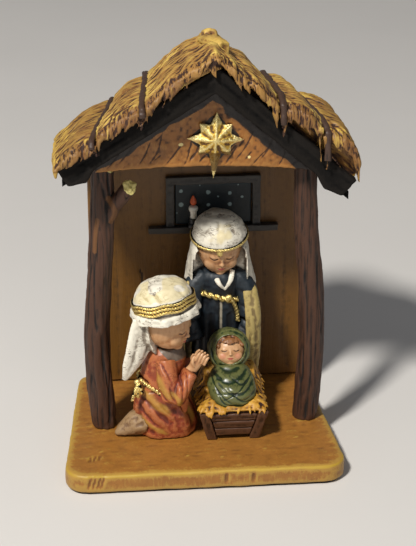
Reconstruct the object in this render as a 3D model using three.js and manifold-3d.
// Nativity scene: a thatched stable on a plinth, a standing figure, a kneeling figure and an infant in a manger.
// Millimetres, +Z up, origin at the centre of the underside, -Y is the open front.
import * as THREE from "three";
import { mergeVertices } from "three/addons/utils/BufferGeometryUtils.js";
import Module from "manifold-3d";

const wasm = await Module();
wasm.setup();

// Clearance between two castings that are glued together
const glueLine = 0.3;

// Size of the slivers that are cleared away after a cut
const sliver = 0.03;

// Plinth and felt
const feltThickness = 0.8;
const feltInset = 1.5;
const plinthHeight = 8;
const plinthFrontHalf = 57;
const plinthBackHalf = 50.4;
const plinthHalfDepth = 43.5;
const plinthFrontCorner = 9;
const plinthBackCorner = 6;
const plinthEdge = 1.2;

// Back wall and posts, seen from the centre line of the stable
const stableX = 2.5;
const wallOuterHalf = 46.2;
const wallThickness = 6;
const wallBackMargin = 1.5;
const postHalfSpan = 42.2;
const roomDepth = 38;
const postRadius = 5.3;
const postBow = 2.3;
const postTopLean = 2.6;
const branchHeight = 92;
const branchRise = 17.5;
const branchRadius = 3;
const branchReach = 11.5;

// Roof, measured at its front edge above the floor
const ridgeX = 5.2;
const ridgeHeight = 151.4;
const leftPitch = 32;
const rightPitch = 41.2;
const roofFall = 5;
const roofTaper = 0.06;
const roofOverhang = 20;
const leftRun = 61.3;
const rightRun = 54.8;
const bargeDepth = 8.3;
const bargeThickness = 4.6;
const eaveFoot = 3.2;
const eaveFootLength = 7.2;
const deckThickness = 2.5;

// Thatch, as heights over the underside of the roof
const lowerThatch = 15.4;
const middleThatch = 15.8;
const upperThatch = 17.8;
const rightSwell = 12.5;
const thatchEaveReach = 0.7;
const middleEnd = [0.73, 0.6];
const upperEnd = [0.42, 0.375];
const stepSlant = 36;
const fringeDepth = 2.8;
const fringeHeight = 5.9;
const tieWidth = 2.8;
const tieThickness = 2;
const ridgeStrawRadius = 3.2;

// Gable panel and star
const gableThickness = 4;
const gableSetBack = 9.5;
const gableLowerEdge = 116.2;
const gableArch = 2.6;
const starHeight = 130.4;
const starArm = 11.4;
const starDiagonal = 9.2;
const starTail = 16.6;
const starValley = 4.6;
const starRise = 3;
const starEdge = 0.9;
const starLean = 3;

// Window in the back wall
const windowX = 9.2;
const windowHalf = 20;
const windowTop = 96.9;
const sillHeight = 74.5;
const frameWidth = 3.5;
const frameDepth = 2.6;
const sillThickness = 2.8;
const sillReach = 7.6;
const sillDepth = 3.8;
const paneThickness = 1;
const candleX = 0.6;
const candleRadius = 1.5;
const candleHeight = 9.4;
const saucerHeight = 1.8;
const saucerRadius = 2.1;
const flameHeight = 4.6;
const flameRadius = 1.5;

// Manger
const mangerX = 12.9;
const mangerFromStanding = 26.1;
const mangerHeight = 13.7;
const mangerTopHalf = 14.3;
const mangerFootHalf = 10.7;
const mangerHalfDepth = 15.4;
const mangerFootHalfDepth = 12.9;
const legWidth = 4;
const boardCount = 3;
const boardGap = 0.35;
const boardThickness = 1.8;
const troughFloor = 2;
const strawHeight = 3.4;
const strawHeadRise = 8.5;

// Infant
const infantHeadRadius = 7.4;
const infantHeadY = 7.8;
const infantHeadHeight = 31.4;
const hoodThickness = 1.8;
const swaddleHalf = 10;
const swaddleDepth = 6.4;
const swaddleFootY = -13.4;
const swaddleFootHeight = 17;

// Standing figure
const standingX = 10.2;
const standingFromWall = 16.1;
const standingHem = 12.4;
const standingWaist = 9.2;
const standingShoulder = 10.4;
const standingDepth = 0.72;
const beltHeight = 49.8;
const shoulderHeight = 56;
const standingHeadRadius = 9.6;
const standingHeadRise = 15.6;
const veilThickness = 1.7;
const veilRise = 3.4;
const lappetReach = 15.6;
const lappetLow = 47.6;
const circletRadius = 0.95;
const mantleThickness = 5.6;
const mantleTop = 57.5;
const mantleHem = 9;
const standingArmRadius = 4.3;

// Kneeling figure
const kneelingX = -14;
const kneelingFromManger = 1.8;
const kneelingHem = 13.2;
const kneelingWaist = 9.5;
const kneelingShoulder = 8.5;
const kneelingDepth = 0.92;
const waistHeight = 22;
const kneelingShoulderHeight = 36;
const kneelingHeadRadius = 10.2;
const kneelingHeadRise = 14.2;
const brimRadius = 14.4;
const brimHeight = 5.8;
const brimThickness = 1.7;
const crownRadius = 12.5;
const crownRise = 9.2;
const bandRise = 10;
const bandHalfHeight = 2.2;
const headTilt = 7;
const kneelingArmRadius = 4.6;
const trainLength = 13;

// Values that follow from the dimensions above
const floorHeight = feltThickness + plinthHeight;
const wallBack = plinthHalfDepth - wallBackMargin;
const wallFront = wallBack - wallThickness;
const postY = wallFront - roomDepth;
const roofFront = postY - roofOverhang;
const roofBack = wallBack - 0.5;
const roofLength = roofBack - roofFront;
const deckFront = roofFront + bargeThickness + glueLine;
const gableFront = roofFront + gableSetBack;
const standingY = wallFront - standingFromWall;
const mangerY = standingY - mangerFromStanding;
const kneelingY = mangerY - kneelingFromManger;
const standingHeadHeight = shoulderHeight + standingHeadRise;
const kneelingHeadHeight = kneelingShoulderHeight + kneelingHeadRise;
const bandHeight = kneelingHeadHeight + bandRise;

const finishes = {
  felt: ["#2b2622", 0.95, 0],
  ochre: ["#b4803a", 0.6, 0],
  wall: ["#7a5522", 0.62, 0],
  bark: ["#4a3226", 0.7, 0],
  darkBoard: ["#2c2724", 0.6, 0],
  panel: ["#b06f2c", 0.58, 0],
  thatch: ["#d3a13c", 0.68, 0],
  gold: ["#c9992f", 0.35, 0.8],
  frame: ["#3a3634", 0.6, 0],
  night: ["#12262c", 0.35, 0],
  wax: ["#e6dfd0", 0.5, 0],
  flame: ["#b53220", 0.45, 0],
  mangerWood: ["#54341c", 0.6, 0],
  straw: ["#d8ab46", 0.62, 0],
  green: ["#3f5a2b", 0.4, 0],
  skin: ["#c98f68", 0.45, 0],
  hair: ["#5a3520", 0.5, 0],
  white: ["#e9e4d8", 0.55, 0],
  blue: ["#22303a", 0.5, 0],
  cream: ["#cdb27a", 0.55, 0],
  coral: ["#c06a3e", 0.5, 0],
  beige: ["#c2a27c", 0.55, 0],
};

const point = (x, y, z) => new THREE.Vector3(x, y, z);
const { degToRad, lerp, clamp, smoothstep } = THREE.MathUtils;
const tanOf = (degrees) => Math.tan(degToRad(degrees));
const cosOf = (degrees) => Math.cos(degToRad(degrees));

// Skins and solids

function skin(points, faces) {
  const geometry = new THREE.BufferGeometry();
  const numbers = points.flatMap((p) => [p.x, p.y, p.z]);
  geometry.setAttribute("position", new THREE.Float32BufferAttribute(numbers, 3));
  geometry.setIndex(faces);
  return geometry;
}

function solidOf(geometry) {
  const bare = geometry.clone();
  bare.deleteAttribute("normal");
  bare.deleteAttribute("uv");
  const merged = mergeVertices(bare, 1e-4);
  const vertProperties = new Float32Array(merged.attributes.position.array);
  const triVerts = new Uint32Array(merged.index.array);
  return new wasm.Manifold(new wasm.Mesh({ numProp: 3, vertProperties, triVerts }));
}

// A cut can leave crumbs and slivers behind, so the piece is the largest body of what is left, made simpler.
function geometryOf(solid) {
  const bodies = solid.decompose();
  const largest = bodies.reduce((a, b) => (b.volume() > a.volume() ? b : a));
  const mesh = largest.simplify(sliver).getMesh();
  const geometry = new THREE.BufferGeometry();
  geometry.setAttribute("position", new THREE.BufferAttribute(mesh.vertProperties, 3));
  geometry.setIndex(new THREE.BufferAttribute(mesh.triVerts, 1));
  return geometry;
}

function cut(body, ...tools) {
  let left = solidOf(body);
  for (const tool of tools) left = left.subtract(solidOf(tool));
  return geometryOf(left);
}

function join(...parts) {
  let whole = solidOf(parts[0]);
  for (const part of parts.slice(1)) whole = whole.add(solidOf(part));
  return geometryOf(whole);
}

function common(body, tool) {
  return geometryOf(solidOf(body).intersect(solidOf(tool)));
}

function block(x0, x1, y0, y1, z0, z1) {
  const box = new THREE.BoxGeometry(x1 - x0, y1 - y0, z1 - z0);
  return box.translate((x0 + x1) / 2, (y0 + y1) / 2, (z0 + z1) / 2);
}

function ball(x, y, z, rx, ry = rx, rz = rx, across = 20, down = 12) {
  return new THREE.SphereGeometry(1, across, down).rotateX(Math.PI / 2).scale(rx, ry, rz).translate(x, y, z);
}

function centreOf(ring) {
  const sum = ring.reduce((total, p) => total.add(p), point(0, 0, 0));
  return sum.divideScalar(ring.length);
}

// A closed skin through rings of equal count, which turn counter-clockwise about the way they run.
function loft(rings, startTip = centreOf(rings[0]), endTip = centreOf(rings.at(-1))) {
  const count = rings[0].length;
  const last = (rings.length - 1) * count;
  const faces = [];
  for (let ring = 0; ring < last; ring += count) {
    for (let i = 0; i < count; i += 1) {
      const a = ring + i;
      const b = ring + ((i + 1) % count);
      faces.push(a, b, b + count, a, b + count, a + count);
    }
  }
  for (let i = 0; i < count; i += 1) {
    const next = (i + 1) % count;
    faces.push(next, i, last + count);
    faces.push(last + i, last + next, last + count + 1);
  }
  return skin([...rings.flat(), startTip, endTip], faces);
}

// Level rings: each station is height, centre x, centre y, half width and half depth.
function stack(stations, sides = 20, swell = () => 1) {
  const rings = stations.map(([z, x, y, a, b]) =>
    Array.from({ length: sides }, (_, i) => {
      const angle = (i / sides) * 2 * Math.PI;
      const reach = swell(angle, z);
      return point(x + a * reach * Math.cos(angle), y + b * reach * Math.sin(angle), z);
    }),
  );
  return loft(rings);
}

// Stations x, y, z, half width and half thickness, run through by a smooth curve.
function smooth(stations, count) {
  const path = new THREE.CatmullRomCurve3(stations.map(([x, y, z]) => point(x, y, z)), false, "catmullrom");
  const size = new THREE.CatmullRomCurve3(stations.map(([, , , a, b]) => point(a, b, 0)), false, "catmullrom");
  return Array.from({ length: count + 1 }, (_, i) => {
    const at = path.getPoint(i / count);
    const half = size.getPoint(i / count);
    return [at.x, at.y, at.z, half.x, half.y];
  });
}

// A limb, log or cord: an oval section carried along its stations.
function limb(stations, sides = 10, thin = point(0, 0, 1), rough = () => 1) {
  const centres = stations.map(([x, y, z]) => point(x, y, z));
  const rings = stations.map(([, , , a, b], i) => {
    const before = centres[Math.max(i - 1, 0)];
    const after = centres[Math.min(i + 1, centres.length - 1)];
    const along = after.clone().sub(before).normalize();
    const up = thin.clone().addScaledVector(along, -thin.dot(along)).normalize();
    const right = up.clone().cross(along);
    return Array.from({ length: sides }, (_, k) => {
      const angle = (k / sides) * 2 * Math.PI;
      const reach = rough(angle, i);
      const p = centres[i].clone().addScaledVector(right, a * reach * Math.cos(angle));
      return p.addScaledVector(up, b * reach * Math.sin(angle));
    });
  });
  return loft(rings);
}

const grown = (stations, grow) => stations.map((s) => [...s.slice(0, 3), s[3] + grow, s[4] + grow]);

// A closed hoop: an oval section carried round a level ellipse.
function hoop(a, b, thick, high, steps = 24, sides = 6) {
  const points = [];
  const faces = [];
  for (let i = 0; i < steps; i += 1) {
    const turn = (i / steps) * 2 * Math.PI;
    const out = point(b * Math.cos(turn), a * Math.sin(turn), 0).normalize();
    for (let k = 0; k < sides; k += 1) {
      const angle = (k / sides) * 2 * Math.PI;
      const p = point(a * Math.cos(turn), b * Math.sin(turn), high * Math.cos(angle));
      points.push(p.addScaledVector(out, thick * Math.sin(angle)));
      const here = i * sides;
      const ahead = ((i + 1) % steps) * sides;
      const next = (k + 1) % sides;
      faces.push(here + k, here + next, ahead + next, here + k, ahead + next, ahead + k);
    }
  }
  return skin(points, faces);
}

// A closed slab between an upper and a lower sheet of points, in columns along x and rows along y.
function slab(top, bottom) {
  const columns = top.length;
  const rows = top[0].length;
  const upper = (i, j) => i * rows + j;
  const lower = (i, j) => (columns + i) * rows + j;
  const faces = [];
  const quad = (a, b, c, d) => faces.push(a, b, c, a, c, d);
  const right = columns - 1;
  const back = rows - 1;
  for (let i = 0; i < right; i += 1) {
    for (let j = 0; j < back; j += 1) {
      quad(upper(i, j), upper(i + 1, j), upper(i + 1, j + 1), upper(i, j + 1));
      quad(lower(i, j), lower(i, j + 1), lower(i + 1, j + 1), lower(i + 1, j));
    }
    quad(lower(i, 0), lower(i + 1, 0), upper(i + 1, 0), upper(i, 0));
    quad(upper(i, back), upper(i + 1, back), lower(i + 1, back), lower(i, back));
  }
  for (let j = 0; j < back; j += 1) {
    quad(lower(0, j + 1), lower(0, j), upper(0, j), upper(0, j + 1));
    quad(lower(right, j), lower(right, j + 1), upper(right, j + 1), upper(right, j));
  }
  return skin([...top.flat(), ...bottom.flat()], faces);
}

// A board that stands across the scene: an outline in x and z, counter-clockwise from the front.
function board(outline, front, back) {
  const shape = new THREE.Shape(outline.map(([x, z]) => new THREE.Vector2(x, z)));
  const flat = new THREE.ExtrudeGeometry(shape, { depth: back - front, bevelEnabled: false });
  return flat.rotateX(Math.PI / 2).translate(0, back, 0);
}

// A straight piece that runs from front to back, with its outline worked out at both ends.
function runBack(outlineAt, front, back) {
  const ringAt = (y) => outlineAt(y).map(([x, z]) => point(x, y, z)).reverse();
  return loft([ringAt(front), ringAt(back)]);
}

function piece(name, finish, geometry) {
  const [color, roughness, metalness] = finishes[finish];
  const material = new THREE.MeshStandardMaterial({ color, roughness, metalness });
  geometry.computeVertexNormals();
  const mesh = new THREE.Mesh(geometry, material);
  mesh.name = name;
  return mesh;
}

function groupAt(x, y, z, ...members) {
  const group = new THREE.Group();
  group.position.set(x, y, z);
  group.add(...members);
  return group;
}

// Plinth: a trapezoid with round corners, wider in front
function plinthOutline(inset) {
  const side = (plinthFrontHalf - plinthBackHalf) / (2 * plinthHalfDepth);
  const half = (y) => (plinthFrontHalf + plinthBackHalf) / 2 - side * y - inset;
  const deep = plinthHalfDepth - inset;
  const corners = [
    [half(-deep), -deep, plinthFrontCorner],
    [half(deep), deep, plinthBackCorner],
    [-half(deep), deep, plinthBackCorner],
    [-half(-deep), -deep, plinthFrontCorner],
  ];
  const steps = 6;
  const ring = [];
  corners.forEach(([x, y, radius], corner) => {
    const r = radius - inset;
    const start = (corner - 1) * (Math.PI / 2);
    for (let i = 0; i <= steps; i += 1) {
      const angle = start + (i / steps) * (Math.PI / 2);
      const cx = x - Math.sign(x) * r;
      const cy = y - Math.sign(y) * r;
      ring.push([cx + r * Math.cos(angle), cy + r * Math.sin(angle)]);
    }
  });
  return ring;
}

const plinthRing = (inset, z) => plinthOutline(inset).map(([x, y]) => point(x, y, z));

function feltSheet() {
  return loft([plinthRing(feltInset, 0), plinthRing(feltInset, feltThickness)]);
}

function plinth() {
  const bottom = feltThickness;
  const shoulder = floorHeight - plinthEdge;
  const eased = plinthEdge / 3;
  return loft([
    plinthRing(eased, bottom),
    plinthRing(0, bottom + eased),
    plinthRing(0, shoulder),
    plinthRing(plinthEdge * 0.35, floorHeight - plinthEdge * 0.3),
    plinthRing(plinthEdge, floorHeight),
  ]);
}

// Roof planes, with side -1 for the left slope and 1 for the right one
const pitchOf = (side) => (side < 0 ? leftPitch : rightPitch);
const runOf = (side) => (side < 0 ? leftRun : rightRun);
const narrowing = (y) => 1 - (roofTaper * clamp(y - roofFront, 0, roofLength)) / roofLength;

function roofUnder(side, run, y) {
  return ridgeHeight - run * tanOf(pitchOf(side)) - (y - roofFront) * tanOf(roofFall);
}

const upright = (side, depth) => depth / cosOf(pitchOf(side));
const deckTop = (side, run, y) => roofUnder(side, run, y) + upright(side, deckThickness);

// The space over one slope, which everything under the roof stays out of.
function roofSpace(side) {
  const reach = runOf(side) * 1.4;
  const high = ridgeHeight * 1.5;
  const outlineAt = (y) => {
    const ridge = [ridgeX, roofUnder(side, 0, y) - glueLine];
    const eave = [ridgeX + side * reach, roofUnder(side, reach, y) - glueLine];
    const ring = [ridge, [ridgeX, high], [eave[0], high], eave];
    return side < 0 ? ring : ring.reverse();
  };
  return runBack(outlineAt, roofFront - roofOverhang, roofBack + roofOverhang);
}

const underRoof = (body) => cut(body, roofSpace(-1), roofSpace(1));

// Back wall, as wide as the stable: both sides are open
function backWall() {
  const left = stableX - wallOuterHalf;
  const right = stableX + wallOuterHalf;
  return underRoof(block(left, right, wallFront, wallBack, glueLine, ridgeHeight));
}

// Posts: bark logs that bow outward and lean in at the top
function postStations(side) {
  const x = stableX + side * postHalfSpan;
  const top = ridgeHeight;
  return [
    [x, postY, -1, postRadius * 0.95, postRadius * 0.95],
    [x + side * postBow * 0.45, postY, branchHeight * 0.12, postRadius * 1.02, postRadius],
    [x + side * postBow, postY, branchHeight * 0.4, postRadius, postRadius],
    [x + side * postBow * 0.6, postY, branchHeight * 0.68, postRadius * 0.97, postRadius * 0.97],
    [x - side * postTopLean * 0.5, postY, branchHeight, postRadius * 0.9, postRadius * 0.93],
    [x - side * postTopLean, postY, top, postRadius * 0.8, postRadius * 0.85],
  ];
}

const barkRidges = (angle, i) => 1 + 0.045 * Math.sin(5 * angle + i) + 0.03 * Math.sin(3 * angle - 2 * i);

function log(side) {
  const whole = limb(smooth(postStations(side), 14), 14, point(0, 1, 0), barkRidges);
  const x = stableX + side * postHalfSpan;
  const wide = postRadius * 2;
  return cut(whole, block(x - wide, x + wide, postY - wide, postY + wide, -wide, glueLine));
}

function branch() {
  const x = stableX - postHalfSpan + postTopLean * 0.2;
  return limb(
    [
      [x, postY - 0.5, branchHeight - 1, branchRadius * 1.1, branchRadius * 1.1],
      [x + branchReach * 0.5, postY - 3, branchHeight + branchRise * 0.5, branchRadius, branchRadius],
      [x + branchReach, postY - 6.5, branchHeight + branchRise, branchRadius * 1.05, branchRadius * 1.05],
    ],
    10,
  );
}

// Roof boards: a barge board in front of each slope, a thin deck behind it
const endRun = (side) => runOf(side) - bargeDepth * Math.sin(degToRad(pitchOf(side)));
const endHeight = (side) => roofUnder(side, endRun(side), roofFront) + bargeDepth * cosOf(pitchOf(side));

function bargeBoard(side) {
  const rise = upright(side, bargeDepth);
  const half = glueLine / 2;
  const foot = endRun(side) - eaveFootLength;
  const heel = foot - eaveFoot;
  const under = (r) => roofUnder(side, r, roofFront);
  const outline = [
    [half, under(half)],
    [half, under(half) + rise],
    [runOf(side), endHeight(side)],
    [endRun(side), under(endRun(side))],
    [foot, under(foot) - eaveFoot],
    [heel, under(heel)],
  ].map(([r, z]) => [ridgeX + side * r, z]);
  return board(side < 0 ? outline : outline.reverse(), roofFront, roofFront + bargeThickness);
}

function roofDeck(side) {
  const half = glueLine / 2;
  const outlineAt = (y) => {
    const far = (runOf(side) - 2) * narrowing(y);
    const ring = [
      [ridgeX + side * half, roofUnder(side, half, y)],
      [ridgeX + side * half, deckTop(side, half, y)],
      [ridgeX + side * far, deckTop(side, far, y)],
      [ridgeX + side * far, roofUnder(side, far, y)],
    ];
    return side < 0 ? ring : ring.reverse();
  };
  return runBack(outlineAt, deckFront, roofBack);
}

// Thatch: three courses on each slope, each with a thick nose at its lower end
const courses = {
  lower: { thick: lowerThatch, end: [1, 1], above: "middle", nose: 0.8, thin: 0.2 },
  middle: { thick: middleThatch, end: middleEnd, above: "upper", nose: 0.82, thin: 0.12 },
  upper: { thick: upperThatch, end: upperEnd, above: "ridge", nose: 0.8, thin: 0.02 },
  ridge: { end: [0, 0] },
};
const courseNames = ["lower", "middle", "upper"];

// The steps between the courses slant up the slope towards the back.
function courseEnd(side, name, y) {
  const [front, back] = courses[name].end;
  const full = (runOf(side) + thatchEaveReach) * narrowing(y);
  return full * lerp(front, back, clamp((y - roofFront) / stepSlant, 0, 1));
}

function courseRun(side, name, y) {
  return [courseEnd(side, courses[name].above, y) + glueLine / 2, courseEnd(side, name, y) - glueLine / 2];
}

function courseTop(side, name, run, y) {
  const { thick, nose, thin } = courses[name];
  const [near, far] = courseRun(side, name, y);
  const up = clamp((far - run) / (far - near), 0, 1);
  const crest = 0.45;
  const rounded = nose + (1 - nose) * Math.sin(Math.min(up / crest, 1) * (Math.PI / 2));
  const thinned = 1 - (thin * Math.max(0, up - crest)) / (1 - crest);
  const swell = side > 0 ? rightSwell * smoothstep(run, 6, rightRun * 0.85) : 0;
  const front = 0.9 + 0.1 * smoothstep(y, roofFront - fringeDepth, roofFront + 7);
  const behind = 1 - 0.5 * smoothstep(y, roofBack * 0.3, roofBack + 2);
  return roofUnder(side, run, y) + (thick + swell) * rounded * thinned * front * behind;
}

// The straw ends hang unevenly over the barge board.
const raggedness = (run) => 0.9 * Math.sin(run * 1.9) + 0.6 * Math.sin(run * 4.3 + 1);

function thatchCourse(side, name) {
  const columns = 8;
  const front = roofFront - fringeDepth;
  const clear = roofFront - glueLine;
  const bargeTop = (run) => roofUnder(side, run, roofFront) + upright(side, bargeDepth) + glueLine;
  const hanging = (run) => roofUnder(side, run, roofFront) + fringeHeight + raggedness(run);
  const fringe = (run) => Math.max(hanging(run), endHeight(side));
  // Behind the board the end of the thatch slopes inward like the end of the board.
  const deck = (run, y) => {
    const corner = endRun(side) * narrowing(y);
    const sloped = roofUnder(side, corner, y) + (run - corner) / tanOf(pitchOf(side));
    const thinnest = courseTop(side, name, run, y) - 1.6;
    return Math.max(deckTop(side, run, y) + glueLine, Math.min(sloped, thinnest));
  };
  const step = 0.1;
  const rows = [
    [front, fringe],
    [clear, fringe],
    [clear + step, bargeTop],
    [deckFront - step, bargeTop],
    [deckFront, deck],
    [lerp(deckFront, roofFront + stepSlant, 0.5), deck],
    [roofFront + stepSlant, deck],
    [lerp(roofFront + stepSlant, roofBack, 0.55), deck],
    [roofBack + 0.4, deck],
  ];
  const top = [];
  const bottom = [];
  for (let i = 0; i <= columns; i += 1) {
    const share = side < 0 ? 1 - i / columns : i / columns;
    const runAt = (y) => lerp(...courseRun(side, name, y), share);
    const ruffle = 0.45 * Math.sin(runAt(front) * 2.7);
    const at = (y, z) => point(ridgeX + side * runAt(y), y, z);
    const nosed = (y) => (y < clear ? 1.2 : 0);
    top.push(rows.map(([y]) => at(y, courseTop(side, name, runAt(y), y) + ruffle - nosed(y))));
    bottom.push(rows.map(([y, z]) => at(y, z(runAt(y), y))));
  }
  return slab(top, bottom);
}

// Bark ties lie in the steps between two courses and hang over the fringe.
function tieStations(side, lowerCourse) {
  const run = (y) => courseRun(side, lowerCourse, y)[0] + tieWidth * 0.7;
  const height = (y) => courseTop(side, lowerCourse, run(y), y) + tieThickness * 0.3;
  const front = roofFront - fringeDepth;
  const x = (y) => ridgeX + side * run(y);
  const over = [0.024, 0.126, 0.283, 0.472, 0.66, 0.835].map((share) => {
    const y = front + share * roofLength;
    return [x(y), y, height(y)];
  });
  const hang = height(front) - Math.max(roofUnder(side, run(front), roofFront) + fringeHeight, endHeight(side));
  const down = [
    [x(front), front - tieThickness * 0.2, height(front) - hang * 0.95],
    [x(front), front - tieThickness * 0.3, height(front) - hang * 0.45],
    [x(front), front + 0.1, height(front) - 0.6],
  ];
  return [...down, ...over].map((p) => [...p, tieWidth / 2, tieThickness / 2]);
}

const tieBelow = { upper: "middle", lower: "lower" };
const tieFacing = point(0, -0.6, 1);
const tie = (side, name, grow = 0) => limb(grown(tieStations(side, tieBelow[name]), grow), 8, tieFacing);

// Two bundles of straw lie along the ridge, each with its cut ends bent up.
function ridgeStraw(grow = 0) {
  const top = (y) => courseTop(-1, "upper", 1, y) - 0.5;
  const r = ridgeStrawRadius + grow;
  const back = [
    [ridgeX + 1, roofBack - 8, top(roofBack - 8) - 1, r * 0.5, r * 0.4],
    [ridgeX, roofBack * 0.45, top(roofBack * 0.45) - 1, r * 0.9, r * 0.6],
    [ridgeX, 12, top(12) - 0.6, r, r * 0.75],
    [ridgeX + 0.3, 6.5, top(6.5) + 0.6, r * 0.85, r * 0.8],
  ];
  const front = [
    [ridgeX - 3, 9, top(9) - 1.8, r * 0.6, r * 0.5],
    [ridgeX - 1, 2, top(2) - 0.8, r, r * 0.65],
    [ridgeX + 1.6, -4, top(-4) - 0.6, r * 1.05, r * 0.75],
    [ridgeX + 4.2, -8.5, top(-8.5) - 1.6, r * 0.9, r * 0.8],
  ];
  return join(limb(smooth(back, 7), 8), limb(smooth(front, 7), 8));
}

const ridgeBed = ridgeStraw(glueLine);
const tieBeds = (side) => Object.keys(tieBelow).map((name) => tie(side, name, glueLine));
const sideWord = (side) => (side < 0 ? "left" : "right");
const bothSides = [-1, 1];

function seatedCourse(side, name) {
  const beds = name === "upper" ? [ridgeBed, ...tieBeds(side)] : tieBeds(side);
  return cut(thatchCourse(side, name), ...beds);
}

// Gable panel: planks behind the barge boards, arched along the lower edge
function gablePanel() {
  const half = wallOuterHalf;
  const steps = 12;
  const outline = [];
  for (let i = 0; i <= steps; i += 1) {
    const u = (i / steps) * 2 - 1;
    outline.push([ridgeX + u * half, gableLowerEdge + gableArch * (1 - u * u) - u * half * tanOf(starLean / 2)]);
  }
  outline.push([ridgeX + half, ridgeHeight], [ridgeX - half, ridgeHeight]);
  return underRoof(board(outline, gableFront, gableFront + gableThickness));
}

// Star: eight ridged points with a long tail below
function star() {
  const reach = [starArm, starDiagonal, starArm, starDiagonal, starArm, starDiagonal, starTail, starDiagonal];
  const ringAt = (y, scale) =>
    Array.from({ length: 16 }, (_, i) => {
      const angle = (i / 16) * 2 * Math.PI - degToRad(starLean);
      const r = (i % 2 ? starValley : reach[i / 2]) * scale;
      return point(r * Math.cos(angle), y, r * Math.sin(angle));
    }).reverse();
  return loft([ringAt(-starEdge, 1), ringAt(0, 0.94)], point(0, -starEdge - starRise, 0)).translate(
    ridgeX + 0.5,
    gableFront - glueLine,
    starHeight,
  );
}

// Window: a frame with a sill on the face of the back wall, a pane inside it and a candle on the sill
const windowFace = wallFront - glueLine;

function windowFrame() {
  const left = windowX - windowHalf;
  const right = windowX + windowHalf;
  const whole = block(left, right, windowFace - frameDepth, windowFace, sillHeight - 0.5, windowTop);
  const hole = block(
    left + frameWidth,
    right - frameWidth,
    windowFace - frameDepth - 1,
    windowFace + 1,
    sillHeight,
    windowTop - frameWidth,
  );
  const sill = block(
    left - sillReach,
    right + sillReach,
    windowFace - sillDepth,
    windowFace,
    sillHeight - sillThickness,
    sillHeight,
  );
  return join(cut(whole, hole), sill);
}

function nightPane() {
  const half = windowHalf - frameWidth - glueLine;
  const top = windowTop - frameWidth - glueLine;
  return block(windowX - half, windowX + half, windowFace - paneThickness, windowFace, sillHeight + glueLine, top);
}

const candleY = windowFace - paneThickness - glueLine - saucerRadius;

function candle() {
  const r = candleRadius;
  const profile = [
    [0, 0],
    [saucerRadius, 0],
    [saucerRadius, saucerHeight * 0.5],
    [r, saucerHeight],
    [r * 0.95, candleHeight * 0.72],
    [r * 1.35, candleHeight * 0.82],
    [r * 1.3, candleHeight * 0.95],
    [r * 0.8, candleHeight],
    [0, candleHeight],
  ].map(([x, y]) => new THREE.Vector2(x, y));
  const turned = new THREE.LatheGeometry(profile, 14).rotateX(Math.PI / 2);
  return turned.translate(candleX, candleY, sillHeight + glueLine);
}

function candleFlame() {
  const r = flameRadius;
  const profile = [
    [0, 0],
    [r * 0.7, flameHeight * 0.08],
    [r, flameHeight * 0.3],
    [r * 0.75, flameHeight * 0.6],
    [r * 0.3, flameHeight * 0.88],
    [0, flameHeight],
  ].map(([x, y]) => new THREE.Vector2(x, y));
  const turned = new THREE.LatheGeometry(profile, 12).rotateX(Math.PI / 2);
  return turned.translate(candleX, candleY, sillHeight + candleHeight + 2 * glueLine);
}

// Manger: a trough on four splayed legs, three boards across its front, and a bed of straw
const mangerShare = (z) => clamp(z / mangerHeight, 0, 1);
const mangerHalf = (z) => lerp(mangerFootHalf, mangerTopHalf, mangerShare(z));
const mangerDeep = (z) => lerp(mangerFootHalfDepth, mangerHalfDepth, mangerShare(z));
const troughTop = mangerHeight - 0.6;

function rectRing(x0, x1, y0, y1, z) {
  return [point(x0, y0, z), point(x1, y0, z), point(x1, y1, z), point(x0, y1, z)];
}

function mangerTrough() {
  const inner = legWidth * 0.35;
  const ringAt = (z) => {
    const half = mangerHalf(z) - inner;
    const deep = mangerDeep(z) - boardThickness - glueLine;
    return rectRing(-half, half, -deep, mangerDeep(z) - inner, z);
  };
  const legBeds = mangerLegs(glueLine).map((leg) => leg.shape);
  return cut(loft([ringAt(troughFloor), ringAt(troughTop)]), swaddleForm(glueLine), ...legBeds);
}

function mangerLegs(grow = 0) {
  const legs = [];
  for (const [row, back] of [["front", -1], ["back", 1]]) {
    for (const side of bothSides) {
      const ringAt = (z) => {
        const x = side * mangerHalf(z);
        const y = back * mangerDeep(z);
        const xs = [x + side * grow, x - side * (legWidth + grow)].sort((a, b) => a - b);
        const ys = [y + back * grow, y - back * (legWidth * 0.8 + grow)].sort((a, b) => a - b);
        return rectRing(xs[0], xs[1], ys[0], ys[1], z);
      };
      const low = grow ? 0 : glueLine;
      legs.push({ name: row + "_" + sideWord(side), shape: loft([ringAt(low), ringAt(mangerHeight + grow)]) });
    }
  }
  return legs;
}

function mangerBoard(index) {
  const pitch = (troughTop - troughFloor) / boardCount;
  const low = troughFloor + index * pitch + boardGap / 2;
  const high = low + pitch - boardGap;
  const ringAt = (z) => {
    const half = mangerHalf(z) - legWidth - glueLine;
    const front = -mangerDeep(z) + 0.4;
    return rectRing(-half, half, front, front + boardThickness - 0.4, z);
  };
  return loft([ringAt(low), ringAt(high)]);
}

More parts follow.
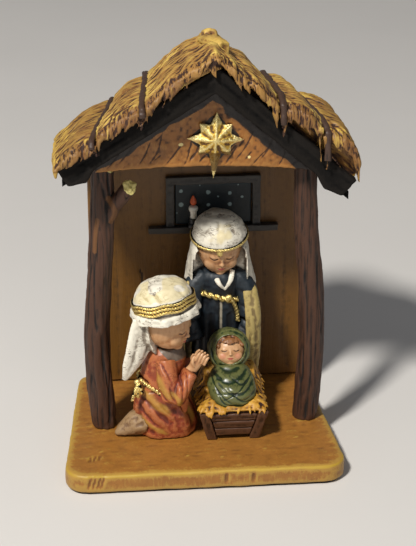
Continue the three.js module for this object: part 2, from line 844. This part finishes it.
function strawBed() {
  const cells = 8;
  const low = mangerHeight + glueLine;
  const top = [];
  const bottom = [];
  for (let i = 0; i <= cells; i += 1) {
    const u = (i / cells) * 2 - 1;
    const across = [];
    const under = [];
    for (let j = 0; j <= cells; j += 1) {
      const v = (j / cells) * 2 - 1;
      const x = u * (mangerTopHalf - 0.6);
      const y = v * (mangerHalfDepth - 0.4);
      const dome = Math.sqrt(Math.max(0, 1 - Math.max(Math.abs(u), Math.abs(v)) ** 4));
      const rise = strawHeadRise * smoothstep(v, -0.3, 0.8);
      const tufts = 0.7 * Math.sin(4 * u * Math.PI + j) + 0.5 * Math.sin(3 * v * Math.PI + 2 * i);
      across.push(point(x, y, low + 0.8 + (strawHeight + rise) * dome + tufts * (0.3 + 0.7 * dome)));
      under.push(point(x * 0.97, y * 0.97, low));
    }
    top.push(across);
    bottom.push(under);
  }
  return slab(top, bottom);
}

// Infant, in the manger's frame: a tapered swaddle that rises to a round hooded head
function swaddleStations() {
  const neckY = infantHeadY - infantHeadRadius * 0.4;
  const neckZ = infantHeadHeight - infantHeadRadius * 0.8;
  const station = (share, wide, deep, sag) => [
    0,
    lerp(swaddleFootY, neckY, share),
    lerp(swaddleFootHeight, neckZ, share) - sag,
    swaddleHalf * wide,
    swaddleDepth * deep,
  ];
  return [
    station(0, 0.42, 0.45, 0),
    station(0.12, 0.78, 0.76, 0.6),
    station(0.4, 1, 1, 1),
    station(0.7, 0.97, 1, 0.6),
    station(0.9, 0.8, 0.85, 0),
    station(1, 0.55, 0.6, 0),
  ];
}

const wrapFolds = (angle, i) => 1 + 0.025 * Math.sin(3 * angle + 1.3 * i);
const swaddleForm = (grow = 0) => limb(grown(smooth(swaddleStations(), 10), grow), 16, point(0, 0, 1), wrapFolds);

function infantHeadForm(grow = 0) {
  const r = infantHeadRadius + grow;
  return ball(0, infantHeadY, infantHeadHeight, r, r, r, 18, 12);
}

function infantHoodForm(grow = 0) {
  const r = infantHeadRadius + hoodThickness + grow;
  return ball(0, infantHeadY + 0.4, infantHeadHeight, r, r, r, 20, 12);
}

// The opening of the hood faces forward and up.
function infantFaceOpening() {
  const r = infantHeadRadius;
  const rings = [
    [r * 0.25, r * 0.7],
    [r * 2.2, r * 1.15],
  ].map(([out, radius]) =>
    Array.from({ length: 18 }, (_, i) => {
      const angle = (i / 18) * 2 * Math.PI;
      const along = point(0, -0.9, 0.43).normalize();
      const up = point(0, along.z, -along.y).normalize();
      const side = up.clone().cross(along);
      const p = along.clone().multiplyScalar(out).addScaledVector(side, radius * Math.cos(angle));
      return p.addScaledVector(up, radius * Math.sin(angle)).add(point(0, infantHeadY, infantHeadHeight));
    }),
  );
  return loft(rings);
}

const infantHair = (grow = 0) => {
  const r = infantHeadRadius + grow;
  return ball(0, infantHeadY - 0.8, infantHeadHeight + r * 0.62, r * 0.72, r * 0.7, r * 0.42, 14, 8);
};

function infantPieces() {
  const swaddle = cut(swaddleForm(), infantHoodForm(glueLine));
  const hood = cut(infantHoodForm(), infantHeadForm(glueLine), infantFaceOpening());
  const hair = cut(infantHair(), infantHeadForm(glueLine), cut(infantHoodForm(glueLine), infantFaceOpening()));
  return [
    piece("infant_swaddle", "green", swaddle),
    piece("infant_hood", "green", hood),
    piece("infant_head", "skin", infantHeadForm()),
    piece("infant_hair", "hair", hair),
  ];
}

function mangerPieces() {
  const bed = cut(strawBed(), swaddleForm(glueLine), infantHoodForm(glueLine));
  const boards = Array.from({ length: boardCount }, (_, i) =>
    piece("manger_board_" + (i + 1), "mangerWood", mangerBoard(i)),
  );
  const legs = mangerLegs().map((leg) => piece("manger_leg_" + leg.name, "mangerWood", leg.shape));
  return [
    piece("manger_trough", "mangerWood", mangerTrough()),
    ...boards,
    ...legs,
    piece("manger_straw", "straw", bed),
    ...infantPieces(),
  ];
}

// Standing figure, in its own frame
const robeFolds = (angle, z) => 1 + 0.03 * Math.sin(7 * angle) * (1 - smoothstep(z, beltHeight * 0.3, beltHeight));

function standingRobeForm(grow = 0) {
  const deep = standingDepth;
  const rings = [
    [glueLine, 0, standingHem, deep],
    [beltHeight * 0.25, 0, standingHem * 0.97, deep],
    [beltHeight * 0.6, 0, lerp(standingHem, standingWaist, 0.5), deep],
    [beltHeight, 0, standingWaist, deep],
    [shoulderHeight - 1, -0.5, standingShoulder, deep * 1.02],
    [shoulderHeight + 3, -1.4, standingShoulder * 0.9, deep * 0.98],
    [shoulderHeight + 6.5, -1, standingShoulder * 0.55, deep * 1.1],
    [shoulderHeight + 9, -0.5, standingShoulder * 0.4, deep * 1.2],
  ];
  return stack(rings.map(([z, y, half, b]) => [z, 0, y, half + grow, half * b + grow]), 20, robeFolds);
}

function standingHeadForm(grow = 0) {
  const r = standingHeadRadius + grow;
  return ball(0, -1.5, standingHeadHeight, r, r, r * 1.22);
}

function veilForm(grow = 0) {
  const r = standingHeadRadius + veilThickness + grow;
  const crown = standingHeadHeight + standingHeadRadius * 1.22 + veilRise + grow;
  const reach = lappetReach + grow;
  const h = standingHeadHeight;
  return stack([
    [lappetLow - grow, 0.6, 1.5, reach * 0.95, r * 0.5],
    [lappetLow + 6, 0.5, 1.2, reach, r * 0.62],
    [lerp(lappetLow, h, 0.62), 0.2, 0.2, lerp(r, reach, 0.6), r * 0.9],
    [h - 1, 0, 0, r * 1.06, r * 0.97],
    [h + 5.5, 0, 0, r, r * 0.97],
    [lerp(h, crown, 0.72), 0, 0, r * 0.87, r * 0.85],
    [lerp(h, crown, 0.92), -0.3, 0, r * 0.55, r * 0.55],
    [crown, -0.4, 0, r * 0.2, r * 0.2],
  ], 22);
}

// The veil leaves the face and the chest open.
function veilOpening() {
  const r = standingHeadRadius;
  const face = ball(0.6, -r * 1.3, standingHeadHeight - 3.2, r * 1.06, r * 1.1, r * 1.08, 18, 10);
  const chest = block(-r * 1.02, r * 1.02, -r * 3, -r * 0.12, lappetLow - 9, standingHeadHeight - 4);
  const shortLappet = block(-r * 3, -r * 0.2, -r * 3, r * 3, lappetLow - 9, lappetLow + 8.5);
  return join(join(face, chest), shortLappet);
}

function circletForm(grow = 0) {
  const r = standingHeadRadius + veilThickness + 0.35;
  const ring = hoop(r, r, circletRadius + grow, circletRadius * 1.15 + grow);
  return ring.rotateX(degToRad(12)).rotateY(degToRad(-5)).translate(0.2, 0, standingHeadHeight + 4.9);
}

function pendantForm(grow = 0) {
  const r = standingHeadRadius + veilThickness;
  return ball(-0.9, -r - 0.9, standingHeadHeight + 1, 1.5 + grow, 1 + grow, 1.7 + grow, 10, 8);
}

function standingArmStations(side) {
  const x = standingShoulder + 0.4;
  const r = standingArmRadius;
  return [
    [side * (x - 1.5), 0.5, shoulderHeight - 1, r * 0.85, r * 0.85],
    [side * (x + 1.6), 0, beltHeight - 7, r, r],
    [side * (x + 1.2), -2.6, beltHeight - 14, r * 1.05, r * 1.05],
    [side * (x - 0.6), -5.4, beltHeight - 20, r * 1.15, r * 1.15],
  ];
}

const standingArm = (side, grow = 0) => limb(grown(smooth(standingArmStations(side), 6), grow), 12, point(0, 1, 0));

function mantleForm() {
  const wide = mantleThickness;
  const rings = [
    [mantleHem, standingHem + wide * 0.45],
    [beltHeight * 0.55, standingHem * 0.9 + wide * 0.8],
    [beltHeight * 0.82, standingWaist + wide * 1.15],
    [shoulderHeight - 1, standingShoulder + wide * 0.62],
    [mantleTop + 2.4, standingShoulder * 0.7],
  ];
  return stack(rings.map(([z, half]) => [z, 0, 1, half, half * 0.76 + 0.6]), 24);
}

// The mantle is open in front, and wider open towards its hem.
function mantleOpening() {
  const front = -standingHem * 2;
  const outlineTop = standingShoulder * 0.92;
  const outlineHem = standingHem + mantleThickness * 0.35;
  const ring = (half, z) => rectRing(-half, half, front, -1.2, z);
  return loft([ring(outlineHem, mantleHem - 5), ring(outlineHem, beltHeight * 0.8), ring(outlineTop, mantleTop + 5)]);
}

function collar() {
  const shell = cut(standingRobeForm(glueLine + 1.2), standingRobeForm(glueLine));
  const low = beltHeight + 4.4;
  const high = shoulderHeight + 8;
  const wedge = board([[0.9, low], [5.8, high], [-4, high]], -standingHem * 2, -1);
  return cut(common(shell, wedge), standingHeadForm(glueLine), veilForm(glueLine));
}

function beltRing(grow = 0) {
  const a = standingWaist + 0.9;
  const b = standingWaist * standingDepth + 0.9;
  return hoop(a, b, 1 + grow, 1.5 + grow).translate(0, 0, beltHeight);
}

function standingBelt() {
  const ring = beltRing();
  const b = standingWaist * standingDepth + 0.9;
  const cord = limb(
    [
      [3.8, -b + 0.2, beltHeight + 0.6, 1.2, 1.2],
      [5, -b - 0.6, beltHeight - 2.5, 0.9, 0.9],
      [6.6, -b - 1.2, beltHeight - 8, 0.8, 0.8],
      [7, -b - 1.6, beltHeight - 11.5, 1.2, 1],
    ],
    8,
    point(0, 1, 0),
  );
  return cut(join(ring, cord), standingRobeForm(glueLine), ...bothSides.map((side) => standingArm(side, glueLine)));
}

function standingPieces() {
  const robe = cut(standingRobeForm(), standingHeadForm(glueLine));
  const arms = bothSides.map((side) => cut(standingArm(side), standingRobeForm(glueLine)));
  const band = cut(join(circletForm(), pendantForm()), standingHeadForm(glueLine));
  const bandBed = join(circletForm(glueLine), pendantForm(glueLine));
  const armBeds = bothSides.map((side) => standingArm(side, glueLine));
  const veil = cut(
    veilForm(),
    standingHeadForm(glueLine),
    standingRobeForm(glueLine),
    veilOpening(),
    bandBed,
    beltRing(glueLine),
    ...armBeds,
  );
  const mantle = cut(
    mantleForm(),
    standingRobeForm(glueLine),
    veilForm(glueLine),
    mantleOpening(),
    beltRing(glueLine),
    ...armBeds,
  );
  return [
    piece("standing_robe", "blue", robe),
    piece("standing_sleeve_left", "blue", arms[0]),
    piece("standing_sleeve_right", "blue", arms[1]),
    piece("standing_mantle", "cream", mantle),
    piece("standing_collar", "white", collar()),
    piece("standing_belt", "gold", standingBelt()),
    piece("standing_head", "skin", standingHeadForm()),
    piece("standing_headcloth", "white", veil),
    piece("standing_circlet", "gold", band),
  ];
}

// Kneeling figure, in its own frame, facing +X
function kneelingRobeForm(grow = 0) {
  const deep = kneelingDepth;
  const rings = [
    [glueLine, -0.3, kneelingHem * 0.95],
    [5, -0.3, kneelingHem],
    [11, -1.2, kneelingHem * 0.97],
    [waistHeight - 5, -2.2, lerp(kneelingHem, kneelingWaist, 0.5)],
    [waistHeight, -2.6, kneelingWaist],
    [lerp(waistHeight, kneelingShoulderHeight, 0.5), -1.4, kneelingWaist * 0.96],
    [kneelingShoulderHeight, 0, kneelingShoulder],
    [kneelingShoulderHeight + 4, 0.6, kneelingShoulder * 0.65],
    [kneelingShoulderHeight + 8, 0.6, kneelingShoulder * 0.5],
  ];
  return stack(rings.map(([z, x, half]) => [z, x, 0, half + grow, half * deep * 0.86 + grow]), 20, kneelFolds);
}

const kneelFolds = (angle, z) => 1 + 0.03 * Math.sin(6 * angle + 1) * (1 - smoothstep(z, 8, waistHeight));

function kneelingHeadForm(grow = 0) {
  const r = kneelingHeadRadius + grow;
  return ball(0.4, -0.5, kneelingHeadHeight, r, r, r * 1.1);
}

const tilted = (shape) => shape.rotateY(degToRad(-headTilt)).translate(-0.8, 0, bandHeight);

function kneelingHeadcloth() {
  const outer = stack(
    [
      [-brimHeight, 0, 0, brimRadius, brimRadius],
      [-brimHeight * 0.5, 0, 0, brimRadius * 0.97, brimRadius * 0.97],
      [-bandHalfHeight * 0.4, 0, 0, crownRadius, crownRadius],
      [1.5, 0, 0, crownRadius * 0.99, crownRadius * 0.99],
      [crownRise * 0.5, 0, 0, crownRadius * 0.89, crownRadius * 0.89],
      [crownRise * 0.8, 0, 0, crownRadius * 0.65, crownRadius * 0.65],
      [crownRise, 0, 0, crownRadius * 0.25, crownRadius * 0.25],
    ],
    24,
  );
  const under = brimRadius - brimThickness;
  const hollow = stack([
    [-brimHeight - 3, 0, 0, under, under],
    [-brimHeight, 0, 0, under, under],
    [0, 0, 0, kneelingHeadRadius * 0.9, kneelingHeadRadius * 0.9],
  ]);
  const shell = cut(tilted(outer), tilted(hollow), kneelingHeadForm(glueLine), headbandForm(glueLine));
  return cut(shell, kneelingTail(glueLine));
}

function headbandForm(grow = 0) {
  const r = crownRadius + 0.2;
  return tilted(hoop(r, r, 1.2 + grow, bandHalfHeight + grow, 24, 8));
}

// The headcloth's tail falls behind the near shoulder.
function kneelingTail(grow = 0) {
  const stations = [
    [-8.6, -4.6, kneelingHeadHeight + 3.5, 5.4, 1.7],
    [-10, -5.2, kneelingHeadHeight - 3, 6, 1.9],
    [-12, -6.4, kneelingHeadHeight - 10, 5.4, 1.7],
    [-15, -7, kneelingHeadHeight - 16, 3.8, 1.5],
    [-17.6, -7, kneelingHeadHeight - 22.5, 1.2, 1],
  ];
  return limb(grown(smooth(stations, 9), grow), 10, point(-0.35, 1, 0));
}

function nearArmForm(grow = 0) {
  const r = kneelingArmRadius;
  const arm = [
    [-0.6, -5, kneelingShoulderHeight - 1, r, r],
    [0, -8.4, kneelingShoulderHeight - 8, r, r * 1.1],
    [2.2, -9.8, kneelingShoulderHeight - 15.5, r * 0.95, r * 1.35],
    [5.8, -8.8, kneelingShoulderHeight - 11, r * 0.8, r * 1.5],
    [9.6, -7, kneelingShoulderHeight - 5.5, r * 0.65, r * 1.15],
  ];
  const drape = [
    [4.8, -8.8, kneelingShoulderHeight - 11.5, r * 0.75, r * 0.9],
    [6.4, -8.8, kneelingShoulderHeight - 18, r * 0.5, r * 0.55],
    [7.2, -8.6, kneelingShoulderHeight - 23.5, 0.9, 0.9],
  ];
  const facing = point(0, 1, 0);
  return join(limb(grown(smooth(arm, 9), grow), 12, facing), limb(grown(drape, grow), 10, facing));
}

function farArmForm(grow = 0) {
  const r = kneelingArmRadius;
  const arm = [
    [0.6, 5, kneelingShoulderHeight - 1, r, r],
    [5.6, 7.4, kneelingShoulderHeight - 13, r * 0.95, r],
    [10.6, 1.6, kneelingShoulderHeight - 6, r * 0.6, r * 0.7],
  ];
  return limb(grown(smooth(arm, 6), grow), 10, point(0, 1, 0));
}

function handsForm() {
  const low = kneelingShoulderHeight - 5.5;
  return limb(
    smooth(
      [
        [10.4, -5.2, low, 2, 2.2],
        [12.6, -4.8, low + 3.6, 2.5, 2.5],
        [14.2, -4.8, low + 7, 2, 2.1],
        [15, -4.8, low + 9.6, 0.9, 1],
      ],
      6,
    ),
    10,
    point(0, 1, 0),
  );
}

function train() {
  const back = -kneelingHem * 0.62;
  const ringAt = (share, half, high) =>
    Array.from({ length: 12 }, (_, i) => {
      const angle = (i / 12) * 2 * Math.PI;
      const z = high / 2 + (high / 2) * Math.sin(angle);
      return point(back - trainLength * share, -1.6 - half * Math.cos(angle), Math.max(z, glueLine));
    });
  return loft([ringAt(0, 7.6, 14), ringAt(0.45, 6.6, 9.5), ringAt(0.8, 5, 5), ringAt(1, 3, 2.2)]);
}

function sash() {
  const a = kneelingWaist + 0.7;
  const b = kneelingWaist * kneelingDepth * 0.86 + 0.7;
  const ring = hoop(a, b, 1, 1.7).translate(-2.6, 0, waistHeight);
  const tassel = limb(
    smooth(
      [
        [-9.6, -4.8, waistHeight + 1, 1.5, 1.2],
        [-11.6, -6, waistHeight - 1.5, 1.7, 1.2],
        [-13.2, -6.8, waistHeight - 5, 1.1, 1],
        [-13.8, -7, waistHeight - 9, 1.8, 1.1],
      ],
      7,
    ),
    8,
    point(0, 1, 0),
  );
  const beds = [kneelingRobeForm(glueLine), nearArmForm(glueLine), farArmForm(glueLine), kneelingTail(glueLine)];
  return cut(join(ring, tassel), ...beds);
}

function kneelingPieces() {
  const robe = cut(join(kneelingRobeForm(), farArmForm()), kneelingHeadForm(glueLine));
  const robeBed = kneelingRobeForm(glueLine);
  const arm = cut(nearArmForm(), robeBed, kneelingHeadForm(glueLine), farArmForm(glueLine));
  const hands = cut(handsForm(), nearArmForm(glueLine), robeBed, farArmForm(glueLine));
  const tail = cut(kneelingTail(), kneelingHeadForm(glueLine), robeBed);
  const band = cut(headbandForm(), kneelingHeadForm(glueLine), kneelingTail(glueLine));
  return [
    piece("kneeling_robe", "coral", robe),
    piece("kneeling_sleeve", "coral", arm),
    piece("kneeling_hands", "skin", hands),
    piece("kneeling_train", "beige", cut(train(), robeBed)),
    piece("kneeling_sash", "gold", sash()),
    piece("kneeling_head", "skin", kneelingHeadForm()),
    piece("kneeling_headcloth", "white", kneelingHeadcloth()),
    piece("kneeling_headcloth_tail", "white", tail),
    piece("kneeling_headband", "gold", band),
  ];
}

// Assembly
const stable = new THREE.Group();
stable.add(piece("back_wall", "wall", backWall()));
stable.add(piece("post_left", "bark", join(underRoof(log(-1)), branch())));
stable.add(piece("post_right", "bark", underRoof(log(1))));
for (const side of bothSides) {
  const word = sideWord(side);
  stable.add(piece("barge_board_" + word, "darkBoard", bargeBoard(side)));
  stable.add(piece("roof_deck_" + word, "darkBoard", roofDeck(side)));
  for (const name of courseNames) {
    stable.add(piece("thatch_" + word + "_" + name, "thatch", seatedCourse(side, name)));
  }
  for (const name of Object.keys(tieBelow)) {
    stable.add(piece("tie_" + word + "_" + name, "bark", tie(side, name)));
  }
}
stable.add(piece("ridge_straw", "thatch", ridgeStraw()));
stable.add(piece("gable_panel", "panel", gablePanel()));
stable.add(piece("star", "gold", star()));
stable.add(piece("window_frame", "frame", windowFrame()));
stable.add(piece("night_pane", "night", nightPane()));
stable.add(piece("candle", "wax", candle()));
stable.add(piece("candle_flame", "flame", candleFlame()));

const onFloor = groupAt(
  0,
  0,
  floorHeight,
  stable,
  groupAt(mangerX, mangerY, 0, ...mangerPieces()),
  groupAt(standingX, standingY, 0, ...standingPieces()),
  groupAt(kneelingX, kneelingY, 0, ...kneelingPieces()),
);

const scene = new THREE.Group();
scene.add(piece("felt_pad", "felt", feltSheet()));
scene.add(piece("base_plinth", "ochre", plinth()));
scene.add(onFloor);

export default scene;
